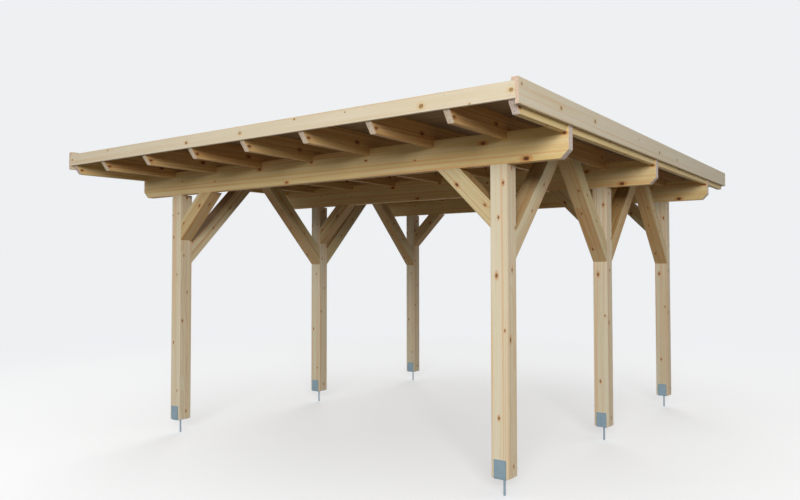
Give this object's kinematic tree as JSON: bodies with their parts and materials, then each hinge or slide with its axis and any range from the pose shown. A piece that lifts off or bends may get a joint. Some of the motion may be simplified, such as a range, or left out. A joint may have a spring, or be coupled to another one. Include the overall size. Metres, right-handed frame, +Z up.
{
  "type": "timber carport",
  "caption": "Open timber carport with a gently sloping flat roof: square posts on steel anchors, cross beams, knee braces, notched rafters, a boarded deck and fascia boards on all sides.",
  "frame": {"origin": "on the ground, under the middle of the roof", "axes": "+X across the carport, from left to right as seen from its front; +Y from the low front edge of the roof to its back; +Z up"},
  "size_m": [3.96, 4.96, 2.379],
  "materials": {
    "post_timber": "planed glued spruce, bare",
    "beam_timber": "planed glued spruce, bare",
    "brace_timber": "planed glued spruce, bare",
    "rafter_timber": "planed spruce, bare",
    "fascia_board": "planed spruce board, bare",
    "deck_boards": "tongue and groove spruce boards, bare",
    "galvanised_steel": "hot-dip galvanised",
    "roof_felt": "mineral-faced bitumen felt"
  },
  "bodies": {
    "root": {"post_front_left": "post_timber", "post_anchor_front_left": "galvanised_steel", "beam_brace_front_left": "brace_timber", "post_front_right": "post_timber", "post_anchor_front_right": "galvanised_steel", "beam_brace_front_right": "brace_timber", "beam_front": "beam_timber", "post_middle_left": "post_timber", "post_anchor_middle_left": "galvanised_steel", "beam_brace_middle_left": "brace_timber", "post_middle_right": "post_timber", "post_anchor_middle_right": "galvanised_steel", "beam_brace_middle_right": "brace_timber", "beam_middle": "beam_timber", "post_back_left": "post_timber", "post_anchor_back_left": "galvanised_steel", "beam_brace_back_left": "brace_timber", "post_back_right": "post_timber", "post_anchor_back_right": "galvanised_steel", "beam_brace_back_right": "brace_timber", "beam_back": "beam_timber", "side_brace_front_left_to_back": "brace_timber", "side_brace_front_right_to_back": "brace_timber", "side_brace_middle_left_to_front": "brace_timber", "side_brace_middle_right_to_front": "brace_timber", "side_brace_middle_left_to_back": "brace_timber", "side_brace_middle_right_to_back": "brace_timber", "side_brace_back_left_to_front": "brace_timber", "side_brace_back_right_to_front": "brace_timber", "rafter_1": "rafter_timber", "rafter_2": "rafter_timber", "rafter_3": "rafter_timber", "rafter_4": "rafter_timber", "rafter_5": "rafter_timber", "rafter_6": "rafter_timber", "rafter_7": "rafter_timber", "rafter_8": "rafter_timber", "rafter_9": "rafter_timber", "fascia_front": "fascia_board", "fascia_back": "fascia_board", "fascia_left": "fascia_board", "fascia_right": "fascia_board", "edge_batten_left": "fascia_board", "edge_batten_right": "fascia_board", "edge_batten_back": "fascia_board", "roof_deck": "deck_boards", "roof_covering": "roof_felt"}
  },
  "joints": []
}
